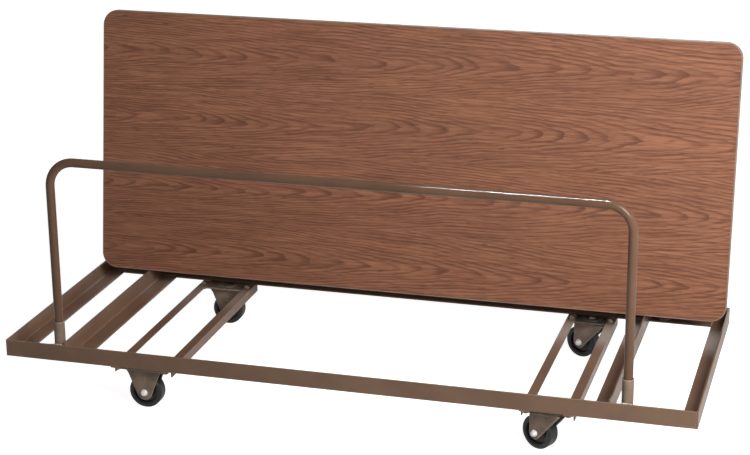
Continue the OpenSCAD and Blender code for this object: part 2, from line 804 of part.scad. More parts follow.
front_rail();
rear_rail();
left_end_rail();
right_end_rail();
left_table_bearer();
right_table_bearer();
hung_bearer(left_caster_x, left_pair_span, 1);  // left_outer_caster_bearer
hung_bearer(left_caster_x, left_pair_span, -1);  // left_inner_caster_bearer
hung_bearer(right_caster_x, right_pair_span, 1);  // right_inner_caster_bearer
hung_bearer(right_caster_x, right_pair_span, -1);  // right_outer_caster_bearer
socket_at(left_socket_x);  // front_left_socket
socket_at(right_socket_x);  // front_right_socket
rear_socket_at(left_socket_x);  // rear_left_socket
rear_socket_at(right_socket_x);  // rear_right_socket
front_handle();
rear_handle();
color(enamel) at_axle(front_left) rigid_yoke();  // front_left_yoke
color(enamel) at_axle(rear_left) rigid_yoke();  // rear_left_yoke
color(enamel) at_plate(front_right) swivel_plate();  // front_right_swivel_plate
color(enamel) at_plate(rear_right) swivel_plate();  // rear_right_swivel_plate
color(zinc) at_swivel(front_right) ball_ring();  // front_right_ball_ring
color(zinc) at_swivel(rear_right) ball_ring();  // rear_right_ball_ring
color(zinc) at_swivel(front_right) kingpin();  // front_right_kingpin
color(zinc) at_swivel(rear_right) kingpin();  // rear_right_kingpin
color(enamel) at_swivel(front_right) swivel_fork();  // front_right_fork
color(enamel) at_swivel(rear_right) swivel_fork();  // rear_right_fork
color(zinc) at_axle(front_left) axle_bolt();  // front_left_axle_bolt
color(zinc) at_axle(rear_left) axle_bolt();  // rear_left_axle_bolt
color(zinc) at_axle(front_right) axle_bolt();  // front_right_axle_bolt
color(zinc) at_axle(rear_right) axle_bolt();  // rear_right_axle_bolt
color(zinc) at_axle(front_left) axle_nut();  // front_left_axle_nut
color(zinc) at_axle(rear_left) axle_nut();  // rear_left_axle_nut
color(zinc) at_axle(front_right) axle_nut();  // front_right_axle_nut
color(zinc) at_axle(rear_right) axle_nut();  // rear_right_axle_nut
color(zinc) at_axle(front_left) bush();  // front_left_bush
color(zinc) at_axle(rear_left) bush();  // rear_left_bush
color(zinc) at_axle(front_right) bush();  // front_right_bush
color(zinc) at_axle(rear_right) bush();  // rear_right_bush
color(rubber) at_axle(front_left) wheel_core();  // front_left_wheel_core
color(rubber) at_axle(rear_left) wheel_core();  // rear_left_wheel_core
color(rubber) at_axle(front_right) wheel_core();  // front_right_wheel_core
color(rubber) at_axle(rear_right) wheel_core();  // rear_right_wheel_core
color(rubber) at_axle(front_left) tyre();  // front_left_tyre
color(rubber) at_axle(rear_left) tyre();  // rear_left_tyre
color(rubber) at_axle(front_right) tyre();  // front_right_tyre
color(rubber) at_axle(rear_right) tyre();  // rear_right_tyre
caster_bolts();
caster_nuts();
table_core();
table_face();
table_back_sheet();
table_edge_band();
left_leg_frame();
right_leg_frame();
leg_clamps();
leg_feet();
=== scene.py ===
# %% [markdown]
# A trolley for banquet tables, dressed for the camera.
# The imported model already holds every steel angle, tube, caster and board at
# its real size. This lesson gives those pieces their finishes, adds the welds
# that hold the steel together, and sets up a small white studio.

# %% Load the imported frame
import math
import random

import bmesh
import bpy
from mathutils import Matrix, Vector


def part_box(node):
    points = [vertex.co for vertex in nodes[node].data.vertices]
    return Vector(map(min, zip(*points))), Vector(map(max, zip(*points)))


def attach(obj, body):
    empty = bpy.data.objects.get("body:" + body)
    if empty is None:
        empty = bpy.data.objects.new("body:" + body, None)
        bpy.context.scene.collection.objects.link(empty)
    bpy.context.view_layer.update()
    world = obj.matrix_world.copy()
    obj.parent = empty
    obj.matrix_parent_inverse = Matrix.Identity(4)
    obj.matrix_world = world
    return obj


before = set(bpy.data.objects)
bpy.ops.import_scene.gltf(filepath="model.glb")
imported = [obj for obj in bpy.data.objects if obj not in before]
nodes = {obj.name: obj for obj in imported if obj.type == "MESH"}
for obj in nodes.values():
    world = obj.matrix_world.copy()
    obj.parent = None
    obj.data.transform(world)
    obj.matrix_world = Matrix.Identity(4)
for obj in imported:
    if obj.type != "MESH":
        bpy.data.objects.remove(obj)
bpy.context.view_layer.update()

# %% [markdown]
# The camera stands in front of the trolley and to its right, a little over two
# metres up. A long lens keeps the rails nearly parallel. Its place and turn
# were solved once from the corners of the frame, so here they are plain values.

# %% Camera
CAMERA_AT = (1.3288, -4.5796, 2.0356)
PITCH_DOWN = math.radians(18.475)
TURN_LEFT = math.radians(16.139)
ROLL = math.radians(-0.506)
SENSOR_MM = 36.0
LENS_MM = 90.24

scene = bpy.context.scene
lens = bpy.data.cameras.new("photo_view")
lens.sensor_fit = "HORIZONTAL"
lens.sensor_width = SENSOR_MM
lens.lens = LENS_MM
camera = bpy.data.objects.new("photo_view", lens)
aim = Matrix.Rotation(TURN_LEFT, 4, "Z") @ Matrix.Rotation(math.pi / 2 - PITCH_DOWN, 4, "X")
camera.matrix_world = Matrix.Translation(CAMERA_AT) @ aim @ Matrix.Rotation(ROLL, 4, "Z")
scene.collection.objects.link(camera)
scene.camera = camera
scene.view_settings.view_transform = "Standard"
print("camera", CAMERA_AT)

# %% [markdown]
# Shader trees get long when every socket is set on a line of its own. These
# helpers place a node, do one sum, mix two colours, stretch a value, and turn
# a colour given as seen on screen into the linear values that shaders use.

# %% Helpers for shader trees
def plug(tree, socket, value):
    """Link another node's output to a socket, or set a plain value on it."""
    if isinstance(value, bpy.types.NodeSocket):
        tree.links.new(value, socket)
    else:
        socket.default_value = value


def put(tree, kind, inputs=None, **settings):
    """Add one node with its settings and inputs."""
    made = tree.nodes.new(kind)
    for name, value in settings.items():
        setattr(made, name, value)
    for key, value in (inputs or {}).items():
        plug(tree, made.inputs[key], value)
    return made


def calc(tree, operation, *values):
    """One Math node, and its output socket."""
    return put(tree, "ShaderNodeMath", dict(enumerate(values)), operation=operation).outputs[0]


def mixed(tree, factor, first, second):
    """A colour between two others, and its output socket."""
    inputs = {0: factor, 6: first, 7: second}
    return put(tree, "ShaderNodeMix", inputs, data_type="RGBA").outputs[2]


def banded(tree, value, low, high, low_out=0.0, high_out=1.0):
    """A value stretched smoothly from one range to another."""
    inputs = dict(enumerate((value, low, high, low_out, high_out)))
    return put(tree, "ShaderNodeMapRange", inputs, interpolation_type="SMOOTHSTEP").outputs[0]


def screen_colour(red, green, blue):
    """A colour as seen on screen, 0 to 255, as linear red, green, blue and alpha."""
    def linear(channel):
        share = channel / 255
        return share / 12.92 if share <= 0.04045 else ((share + 0.055) / 1.055) ** 2.4
    return (linear(red), linear(green), linear(blue), 1.0)


print("screen grey 128 is linear", round(screen_colour(128, 128, 128)[0], 3))

# %% [markdown]
# The studio is a white floor, a white world and three soft lamps. The world
# shows as plain white to the camera and as a dimmer room to shiny surfaces, but
# lights the object only a little, so that the big lamp on the right can shade
# the long rails from light to dark. The floor adds a glow of its own for the
# camera and still takes the shadows of the wheels.

# %% World
FILL_STRENGTH = 0.11
MIRRORED = 0.5
WHITE = (1.0, 1.0, 1.0, 1.0)

world = bpy.data.worlds.new("white_studio")
world.use_nodes = True
scene.world = world
tree = world.node_tree
tree.nodes.clear()


def seen_directly(tree):
    """One for camera rays, which show a background, and less for mirror and glass rays."""
    rays = put(tree, "ShaderNodeLightPath")
    shiny = calc(tree, "MAXIMUM", rays.outputs["Is Glossy Ray"], rays.outputs["Is Transmission Ray"])
    return calc(tree, "MAXIMUM", rays.outputs["Is Camera Ray"], calc(tree, "MULTIPLY", shiny, MIRRORED))


fill = put(tree, "ShaderNodeBackground", {"Strength": FILL_STRENGTH, "Color": WHITE})
shown = put(tree, "ShaderNodeBackground", {"Strength": 1.0, "Color": WHITE})
sky = put(tree, "ShaderNodeMixShader", {0: seen_directly(tree), 1: fill.outputs[0], 2: shown.outputs[0]})
put(tree, "ShaderNodeOutputWorld", {"Surface": sky.outputs[0]})
print("fill", FILL_STRENGTH)

# %% Floor
FLOOR_HALF = 40.0
FLOOR_WHITE = 0.58
FLOOR_GLOW = 0.92
GLOW_FROM, GLOW_TO = 1.2, 4.0

floor_mesh = bpy.data.meshes.new("studio_floor")
sketch = bmesh.new()
bmesh.ops.create_grid(sketch, x_segments=1, y_segments=1, size=FLOOR_HALF)
sketch.to_mesh(floor_mesh)
sketch.free()
floor = bpy.data.objects.new("studio_floor", floor_mesh)
scene.collection.objects.link(floor)
paper = bpy.data.materials.new("Pale floor")
paper.use_nodes = True
tree = paper.node_tree
tree.nodes.clear()
matt = put(tree, "ShaderNodeBsdfDiffuse", {"Color": (FLOOR_WHITE, FLOOR_WHITE, FLOOR_WHITE, 1.0)})
middle = put(tree, "ShaderNodeTexCoord").outputs["Object"]
distance = put(tree, "ShaderNodeVectorMath", {0: middle}, operation="LENGTH")
far_glow = banded(tree, distance.outputs["Value"], GLOW_FROM, GLOW_TO, FLOOR_GLOW, 1.0)
glow_level = calc(tree, "MULTIPLY", seen_directly(tree), far_glow)
glow = put(tree, "ShaderNodeEmission", {"Strength": glow_level})
both = put(tree, "ShaderNodeAddShader", {0: matt.outputs[0], 1: glow.outputs[0]})
put(tree, "ShaderNodeOutputMaterial", {"Surface": both.outputs[0]})
floor_mesh.materials.append(paper)
print("floor", FLOOR_HALF * 2, "m across")

# %% [markdown]
# The big lamp stands to the right, a low wide one behind the trolley draws light
# along the tops of the steel, and a narrow strip overhead is there only for its
# reflection, the bright line along the top of the handle.

# %% Lamps
LAMPS = {
    # name: place, aim, width, height, watts
    "key_softbox": ((2.4, -1.9, 2.2), (0.3, 0.0, 0.4), 1.6, 1.4, 124.0),
    "back_softbox": ((0.4, 4.4, 1.9), (0.0, 0.0, 0.1), 4.0, 1.0, 22.0),
    "top_strip": ((0.3, -0.4, 2.6), (0.3, -0.3, 0.6), 1.0, 0.08, 130.0),
}


def softbox(name, place, target, width, height, watts):
    """A rectangular lamp that faces its target."""
    lamp = bpy.data.lights.new(name, "AREA")
    lamp.shape = "RECTANGLE"
    lamp.size = width
    lamp.size_y = height
    lamp.energy = watts
    stand = bpy.data.objects.new(name, lamp)
    stand.location = place
    stand.rotation_euler = (Vector(target) - Vector(place)).to_track_quat("-Z", "Y").to_euler()
    scene.collection.objects.link(stand)


for lamp_name, (place, target, width, height, watts) in LAMPS.items():
    softbox(lamp_name, place, target, width, height, watts)
bpy.data.objects["top_strip"].visible_diffuse = False
print("lamps", list(LAMPS))

# %% [markdown]
# Painted steel is never one flat colour: it clouds over, and the paint rubs
# thin along sharp edges. On the caster and plate finishes the pale edges are
# also a painted highlight. Both effects serve several finishes, so each is a
# node group with named sockets, built once and given its own values in each finish.

# %% Node group: blotches
FLOAT, VECTOR = "NodeSocketFloat", "NodeSocketVector"


def new_group(name, inputs, outputs):
    """An empty shader node group with named sockets, and its two end nodes."""
    group = bpy.data.node_groups.new(name, "ShaderNodeTree")
    for label, kind in inputs:
        group.interface.new_socket(label, in_out="INPUT", socket_type=kind)
    for label in outputs:
        kind = VECTOR if label == "Normal" else FLOAT
        group.interface.new_socket(label, in_out="OUTPUT", socket_type=kind)
    return group, group.nodes.new("NodeGroupInput").outputs, group.nodes.new("NodeGroupOutput").inputs


blotches, given, result = new_group(
    "Blotches", [("Vector", VECTOR), ("Cloud scale", FLOAT), ("Grit scale", FLOAT)], ["Clouds", "Grit"])
clouds = put(blotches, "ShaderNodeTexNoise", {
    "Vector": given["Vector"], "Scale": given["Cloud scale"], "Detail": 4.0, "Roughness": 0.55})
grit = put(blotches, "ShaderNodeTexNoise", {
    "Vector": given["Vector"], "Scale": given["Grit scale"], "Detail": 3.0, "Roughness": 0.6})
plug(blotches, result["Clouds"], banded(blotches, clouds.outputs[0], 0.3, 0.7))
plug(blotches, result["Grit"], grit.outputs[0])
print("group", blotches.name)

# %% Node group: worn and highlit edges
worn_and_highlit_edges, given, result = new_group(
    "Worn and highlit edges", [("Radius", FLOAT), ("Breakup", FLOAT)], ["Edge", "Normal"])
rounded = put(worn_and_highlit_edges, "ShaderNodeBevel", {"Radius": given["Radius"]}, samples=6)
surface = put(worn_and_highlit_edges, "ShaderNodeNewGeometry")
facing = put(worn_and_highlit_edges, "ShaderNodeVectorMath", {
    0: rounded.outputs[0], 1: surface.outputs["Normal"]}, operation="DOT_PRODUCT")
turned = calc(worn_and_highlit_edges, "SUBTRACT", 1.0, facing.outputs["Value"])
edge_mask = calc(worn_and_highlit_edges, "MULTIPLY", banded(worn_and_highlit_edges, turned, 0.01, 0.12), given["Breakup"])
plug(worn_and_highlit_edges, result["Edge"], edge_mask)
plug(worn_and_highlit_edges, result["Normal"], rounded.outputs[0])
print("group", worn_and_highlit_edges.name)

# %% Helpers for finishes
def grouped(tree, group, inputs):
    """Place a node group in a material, and return its outputs."""
    return put(tree, "ShaderNodeGroup", inputs, node_tree=group).outputs


def new_finish(name):
    """A material with an empty tree, its Principled shader and Object coordinates."""
    finish = bpy.data.materials.new(name)
    finish.use_nodes = True
    tree = finish.node_tree
    tree.nodes.clear()
    shader = put(tree, "ShaderNodeBsdfPrincipled")
    put(tree, "ShaderNodeOutputMaterial", {"Surface": shader.outputs[0]})
    place = put(tree, "ShaderNodeTexCoord").outputs["Object"]
    return finish, tree, shader, place


def feed(tree, shader, **inputs):
    """Link or set the shader's sockets; an underscore in a name stands for a space."""
    for key, value in inputs.items():
        plug(tree, shader.inputs[key.replace("_", " ")], value)


print("helpers", [helper.__name__ for helper in (grouped, new_finish, feed)])

# %% [markdown]
# The trolley is sprayed with a brown enamel. It is satin, slightly uneven in
# tone, pale where hands and tables rub its edges, and its skin has the fine
# orange peel of sprayed paint. A plain brown would do from afar, but only the
# rubbed edges show where one steel angle ends and the next begins. The handle
# tube is smoother. Sockets and casters are mottled and painted lighter than the
# rails, as painted light for the extra light they catch, and their wide pale
# lips are partly rubbed paint and partly a painted highlight. The swivel plates
# are nearly black, partly their own dark paint and partly painted shade, with
# pale edges that are partly a painted highlight. The welds are speckled
# near-white, painted glints on their glossy beads, and the table's legs are grey.

# %% Finish: enamel
GRIT_SCALE = 320.0
PEEL_SCALE = 900.0
PEEL_STRENGTH = 0.06


def enamel(name, dark, light, rubbed_and_highlight, wear_and_highlight, gloss, shine, cloud_scale=7.0, edge_width=0.0016):
    """Sprayed paint: two close tones, a pale colour for the edges, and orange peel; the pale edges are
    rubbed paint, and on some finishes also a painted highlight.
    """
    finish, tree, shader, place = new_finish(name)
    spots = grouped(tree, blotches, {
        "Vector": place, "Cloud scale": cloud_scale, "Grit scale": GRIT_SCALE})
    edges = grouped(tree, worn_and_highlit_edges, {"Radius": edge_width, "Breakup": spots["Grit"]})
    body = mixed(tree, spots["Clouds"], dark, light)
    speckle = banded(tree, spots["Grit"], 0.35, 0.75, 0.0, 0.25)
    body = mixed(tree, speckle, body, dark)
    # Pale edge colour: rubbed paint, and on the caster and plate finishes also a painted highlight.
    body = mixed(tree, calc(tree, "MULTIPLY", edges["Edge"], wear_and_highlight), body, rubbed_and_highlight)
    rough = banded(tree, spots["Clouds"], 0.0, 1.0, gloss - 0.02, gloss + 0.05)
    peel = put(tree, "ShaderNodeTexNoise", {"Vector": place, "Scale": PEEL_SCALE, "Detail": 2.0})
    skin = put(tree, "ShaderNodeBump", {
        "Height": peel.outputs[0], "Normal": edges["Normal"], "Strength": PEEL_STRENGTH, "Distance": 0.001})
    feed(tree, shader, Base_Color=body, Roughness=rough, Normal=skin.outputs[0])
    shader.inputs["Specular IOR Level"].default_value = shine
    return finish


brown_enamel = enamel("Brown enamel", screen_colour(116, 89, 71), screen_colour(129, 101, 81),
                      screen_colour(190, 166, 144), wear_and_highlight=0.9, gloss=0.3, shine=0.28)
tube_enamel = enamel("Tube enamel", screen_colour(103, 75, 56), screen_colour(115, 85, 65),
                     screen_colour(176, 152, 130), wear_and_highlight=0.5, gloss=0.14, shine=0.22)
# Sockets, yokes and forks: the rails' brown painted lighter, as painted light for the extra light they
# catch; the wide pale lips are partly rubbed paint and partly a painted highlight.
caster_enamel_painted_light = enamel("Caster enamel with painted light", screen_colour(118, 98, 82), screen_colour(146, 124, 106),
                       screen_colour(226, 214, 198), wear_and_highlight=1.5, gloss=0.3, shine=0.3,
                       cloud_scale=30.0, edge_width=0.0028)
# Swivel plates: nearly black, partly their own dark paint and partly painted shade from the table above
# them; their pale edges are partly rubbed paint and partly a painted highlight.
plate_enamel_painted_shade = enamel("Plate enamel with painted shade", screen_colour(62, 53, 46), screen_colour(74, 64, 55),
                      screen_colour(196, 184, 168), wear_and_highlight=1.0, gloss=0.25, shine=0.4)
# Welds: brown paint flecked near-white at a fine scale; the near-white flecks are painted glints standing
# in for highlights on the glossy beads.
weld_enamel_painted_glints = enamel("Weld enamel with painted glints", screen_colour(120, 96, 79), screen_colour(232, 216, 194),
                     screen_colour(240, 228, 210), wear_and_highlight=1.0, gloss=0.24, shine=0.45, cloud_scale=260.0)
leg_enamel = enamel("Leg enamel", screen_colour(66, 58, 52), screen_colour(82, 73, 66),
                    screen_colour(140, 130, 122), wear_and_highlight=0.6, gloss=0.3, shine=0.4)
enamels = (brown_enamel, tube_enamel, caster_enamel_painted_light, plate_enamel_painted_shade, weld_enamel_painted_glints, leg_enamel)
print("enamels", [finish.name for finish in enamels])

# %% [markdown]
# The table top is faced with a walnut-print laminate. A board sawn flat from a
# log cuts through the tree's rings, which are long cones: down the board's
# middle the cut gives pointed arches, and at its sides straight lines. So the
# ring number is the distance from the tree's heart, taken from how far a point
# lies across the board and how deep the heart is, plus a run along the board
# because the cone narrows. Noise bends the rings a little, and every board draws
# a depth and a start of its own.

# %% Node group: plain-sawn grain
BOARD_W = 0.193
FIRST_BOARD = 0.064
DRIFT = 0.017
BOARD_MIDDLE = 0.91
RING_W = 0.0053
HEART_DEPTH = 0.011
HEART_WIDTH = 0.7
TAPER = 0.062
SIDE_RUN = 0.78
WIDE_BEND, FINE_BEND = 0.06, 0.014
DEPTH_SPREAD, DEPTH_SWING = 0.008, 0.014
RUN_SWING = 0.02
RING_WOBBLE = 0.9
STREAKS = {
    # name: scale along the board, scale across it, detail, layer, roughness
    "wide bend": (1.3, 4.0, 2.0, 0.0, 0.5),
    "fine bend": (4.5, 14.0, 2.0, 3.0, 0.5),
    "heart depth": (3.0, 5.0, 2.0, 5.0, 0.5),
    "run": (2.6, 5.0, 2.0, 7.0, 0.5),
    "ring wobble": (9.0, 60.0, 2.0, 11.0, 0.5),
    "patches": (5.0, 34.0, 2.0, 17.0, 0.5),
    "long fibre": (4.0, 125.0, 3.0, 19.0, 0.5),
    "short fibre": (16.0, 330.0, 3.0, 23.0, 0.65),
    "pores": (24.0, 420.0, 1.0, 29.0, 0.5),
    "tone": (1.5, 7.0, 3.0, 31.0, 0.5),
}

grain, given, result = new_group(
    "Plain-sawn grain", [("Vector", VECTOR)], ["Rings", "Fibre", "Pores", "Tone"])
parts = put(grain, "ShaderNodeSeparateXYZ", {0: given["Vector"]}).outputs
along = parts["X"]
across = calc(grain, "SUBTRACT", parts["Z"], calc(grain, "MULTIPLY", along, DRIFT))


def streaks(name):
    """Noise drawn out along the board, one layer apart from the next."""
    along_scale, across_scale, detail, layer, roughness = STREAKS[name]
    stretched = put(grain, "ShaderNodeCombineXYZ", {
        0: calc(grain, "MULTIPLY", along, along_scale), 1: layer,
        2: calc(grain, "MULTIPLY", across, across_scale)})
    cloud = put(grain, "ShaderNodeTexNoise", {
        "Vector": stretched.outputs[0], "Scale": 1.0, "Detail": detail, "Roughness": roughness})
    return cloud.outputs[0]


def swing(value, reach):
    """A noise value, shifted to swing about zero."""
    return calc(grain, "MULTIPLY", calc(grain, "SUBTRACT", value, 0.5), reach)


def total(*values):
    """The sum of several values."""
    answer = values[0]
    for value in values[1:]:
        answer = calc(grain, "ADD", answer, value)
    return answer


bent = total(across, swing(streaks("wide bend"), WIDE_BEND), swing(streaks("fine bend"), FINE_BEND))
board_place = calc(grain, "DIVIDE", calc(grain, "SUBTRACT", bent, FIRST_BOARD), BOARD_W)
board = calc(grain, "ROUND", board_place)
from_middle = calc(grain, "MULTIPLY", calc(grain, "SUBTRACT", board_place, board), BOARD_W * HEART_WIDTH)
draw = put(grain, "ShaderNodeTexWhiteNoise", {"W": board}, noise_dimensions="1D").outputs["Value"]
depth = total(HEART_DEPTH, calc(grain, "MULTIPLY", draw, DEPTH_SPREAD),
              swing(streaks("heart depth"), DEPTH_SWING))
squares = total(calc(grain, "MULTIPLY", from_middle, from_middle), calc(grain, "MULTIPLY", depth, depth))
to_side = calc(grain, "ABSOLUTE", calc(grain, "SUBTRACT", board_place, board))
slant = banded(grain, to_side, 0.0, 0.5, TAPER, TAPER * SIDE_RUN)
run = calc(grain, "MULTIPLY", calc(grain, "SUBTRACT", along, BOARD_MIDDLE), slant)
run = total(run, draw, swing(streaks("run"), RUN_SWING))
rings = calc(grain, "DIVIDE", total(calc(grain, "SQRT", squares), run), RING_W)
rings = total(rings, swing(streaks("ring wobble"), RING_WOBBLE))
year = calc(grain, "FRACT", rings)
darkens, ends = banded(grain, year, 0.38, 0.9), banded(grain, year, 0.92, 1.0, 1.0, 0.0)
late_wood = calc(grain, "MULTIPLY", darkens, ends)
patchy = banded(grain, streaks("patches"), 0.3, 0.62, 0.3, 1.0)
fibre = calc(grain, "MULTIPLY", total(streaks("long fibre"), streaks("short fibre")), 0.5)
plug(grain, result["Rings"], calc(grain, "MULTIPLY", late_wood, patchy))
plug(grain, result["Fibre"], fibre)
plug(grain, result["Pores"], banded(grain, streaks("pores"), 0.6, 0.72))
plug(grain, result["Tone"], banded(grain, streaks("tone"), 0.3, 0.7))
print("group", grain.name)

# %% Finish: walnut laminate
TABLE_LEAN = math.radians(8.0)
TABLE_LEFT = -0.899
TABLE_FOOT = 0.2041


def walnut_laminate():
    """The grain laid in the plane of the leaning table, in four browns."""
    finish, tree, shader, place = new_finish("Walnut laminate")
    board_plane = put(tree, "ShaderNodeMapping", {
        "Vector": place, "Rotation": (TABLE_LEAN, 0.0, 0.0), "Location": (-TABLE_LEFT, 0.0, -TABLE_FOOT)})
    figure = grouped(tree, grain, {"Vector": board_plane.outputs[0]})
    early = mixed(tree, figure["Tone"], screen_colour(177, 120, 90), screen_colour(164, 111, 83))
    fibre = banded(tree, figure["Fibre"], 0.36, 0.64, 0.0, 0.85)
    body = mixed(tree, fibre, early, screen_colour(121, 75, 55))
    body = mixed(tree, calc(tree, "MULTIPLY", figure["Rings"], 0.78), body, screen_colour(98, 58, 43))
    body = mixed(tree, calc(tree, "MULTIPLY", figure["Pores"], 0.6), body, screen_colour(72, 42, 32))
    rough = banded(tree, figure["Fibre"], 0.2, 0.8, 0.40, 0.52)
    pressed = calc(tree, "SUBTRACT", figure["Fibre"], figure["Pores"])
    skin = put(tree, "ShaderNodeBump", {"Height": pressed, "Strength": 0.10, "Distance": 0.0006})
    feed(tree, shader, Base_Color=body, Roughness=rough, Normal=skin.outputs[0])
    shader.inputs["Specular IOR Level"].default_value = 0.3
    return finish


wood_laminate = walnut_laminate()
print("laminate", wood_laminate.name)

# %% [markdown]
# The other finishes are small areas, but each still has its own detail: zinc
# with a cloudy bloom, black rubber that goes grey where it rolls, moulded
# nylon, a vinyl edge and plain boards. Zinc comes in two tones: the axle nuts
# and other plated parts are painted near-white with little metal, a painted
# glare, and the plate bolts are painted darker, a painted shade for where they
# sit under the tray.

# %% Finish: zinc plate
def zinc_plate(name, dark, light, rough_low, rough_high, metal):
    """Plated steel: two close tones in small clouds, bright along its edges."""
    finish, tree, shader, place = new_finish(name)
    spots = grouped(tree, blotches, {"Vector": place, "Cloud scale": 120.0, "Grit scale": 1500.0})
    edges = grouped(tree, worn_and_highlit_edges, {"Radius": 0.0008, "Breakup": spots["Grit"]})
    body = mixed(tree, spots["Clouds"], dark, light)
    body = mixed(tree, edges["Edge"], body, light)
    rough = banded(tree, spots["Grit"], 0.3, 0.7, rough_low, rough_high)
    skin = put(tree, "ShaderNodeBump", {
        "Height": spots["Grit"], "Normal": edges["Normal"], "Strength": 0.06, "Distance": 0.0005})
    feed(tree, shader, Base_Color=body, Roughness=rough, Metallic=metal, Normal=skin.outputs[0])
    return finish


# Near-white with little metal: painted glare in place of the plated parts' reflections.
zinc_painted_glare = zinc_plate("Zinc with painted glare", screen_colour(246, 246, 243), screen_colour(255, 255, 253),
                         rough_low=0.25, rough_high=0.4, metal=0.1)
# Darker zinc for the caster bolts, nuts and kingpins: painted shade for where they sit under the tray.
zinc_painted_shade = zinc_plate("Zinc with painted shade", screen_colour(134, 125, 114), screen_colour(172, 163, 150),
                       rough_low=0.35, rough_high=0.5, metal=0.5)
print("zinc", zinc_painted_glare.name, zinc_painted_shade.name)

# %% Finish: rubber, nylon, vinyl and boards
def moulded(name, dark, light, cloud_scale, grit_scale, rough_low, rough_high, relief):
    """A moulded or pressed material: two close tones, a fine grit and its bump."""
    finish, tree, shader, place = new_finish(name)
    spots = grouped(tree, blotches, {"Vector": place, "Cloud scale": cloud_scale, "Grit scale": grit_scale})
    edges = grouped(tree, worn_and_highlit_edges, {"Radius": 0.0008, "Breakup": spots["Grit"]})
    body = mixed(tree, spots["Clouds"], dark, light)
    body = mixed(tree, edges["Edge"], body, light)
    rough = banded(tree, spots["Grit"], 0.3, 0.7, rough_low, rough_high)
    skin = put(tree, "ShaderNodeBump", {
        "Height": spots["Grit"], "Normal": edges["Normal"], "Strength": relief, "Distance": 0.0006})
    feed(tree, shader, Base_Color=body, Roughness=rough, Normal=skin.outputs[0])
    return finish


finishes = {
    "brown_enamel": brown_enamel,
    "leg_enamel": leg_enamel,
    "wood_laminate": wood_laminate,
    "zinc": zinc_painted_glare,
    "tyre_rubber": moulded("Tyre rubber", screen_colour(12, 12, 11), screen_colour(26, 26, 24),
                           60.0, 900.0, 0.34, 0.5, 0.12),
    "wheel_plastic": moulded("Wheel nylon", screen_colour(20, 20, 18), screen_colour(34, 34, 31),
                             45.0, 700.0, 0.35, 0.5, 0.08),
    "board_core": moulded("Plywood core", screen_colour(170, 138, 98), screen_colour(190, 158, 118),
                          25.0, 500.0, 0.6, 0.75, 0.2),
    "back_sheet": moulded("Back sheet", screen_colour(116, 92, 72), screen_colour(128, 102, 80),
                          9.0, 450.0, 0.5, 0.62, 0.12),
    "edge_vinyl": moulded("Edge vinyl", screen_colour(140, 114, 98), screen_colour(158, 131, 114),
                          30.0, 800.0, 0.4, 0.52, 0.08),
    "foot_rubber": moulded("Foot rubber", screen_colour(36, 35, 34), screen_colour(54, 53, 51),
                           60.0, 900.0, 0.55, 0.7, 0.15),
}
endings = {
    # the last part of a node's name: a finish of its own
    "handle": tube_enamel,
    # Sockets, yokes and forks take the lighter brown, which is painted light.
    "socket": caster_enamel_painted_light, "yoke": caster_enamel_painted_light, "fork": caster_enamel_painted_light,
    # The swivel plates' near black is partly painted shade.
    "swivel_plate": plate_enamel_painted_shade,
    # The caster bolts, nuts and kingpins take the darker zinc, which is painted shade.
    "caster_bolts": zinc_painted_shade, "caster_nuts": zinc_painted_shade, "kingpin": zinc_painted_shade,
}
for name, obj in nodes.items():
    own = [finish for ending, finish in endings.items() if name.endswith(ending)]
    for slot in obj.material_slots:
        slot_name = slot.material.name.split(".")[0]
        slot.material = own[0] if own else finishes[slot_name]
print("finishes", list(finishes))

# %% [markdown]
# The steel is joined by arc welds, painted over with the rest. A weld is a row
# of small puddles, each laid on the last, so a bead is thick and thin by turns.
# Here a ring of edges is drawn along the seam step by step, and swells and
# shrinks at every step. Seams are given in millimetres from the tray's front
# left corner, as the drawing of the tray gives them.

# %% Weld bead
PUDDLE_STEP = 1.5
BEAD_SIDES = 8
BEAD_END = 0.45
EVEN_PUDDLE = 0.8
PUDDLE_SPREAD = (0.88, 1.08)

luck = random.Random(11)
tray_corner = Vector(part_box("left_end_rail")[0])
tray_l = round((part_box("right_end_rail")[1][0] - tray_corner.x) * 1000, 3)
tray_w = round((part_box("left_end_rail")[1][1] - tray_corner.y) * 1000, 3)


def seam(start, end):
    """Points along a straight seam, one puddle apart."""
    start, end = Vector(start), Vector(end)
    count = max(3, round((end - start).length / PUDDLE_STEP))
    return [start.lerp(end, step / count) for step in range(count + 1)]


def round_seam(centre, radius, first, last):
    """Points along a level arc, from one angle in degrees to another."""
    count = max(6, round(math.radians(abs(last - first)) * radius / PUDDLE_STEP))
    angles = [math.radians(first + (last - first) * step / count) for step in range(count + 1)]
    return [Vector(centre) + radius * Vector((math.cos(a), math.sin(a), 0.0)) for a in angles]


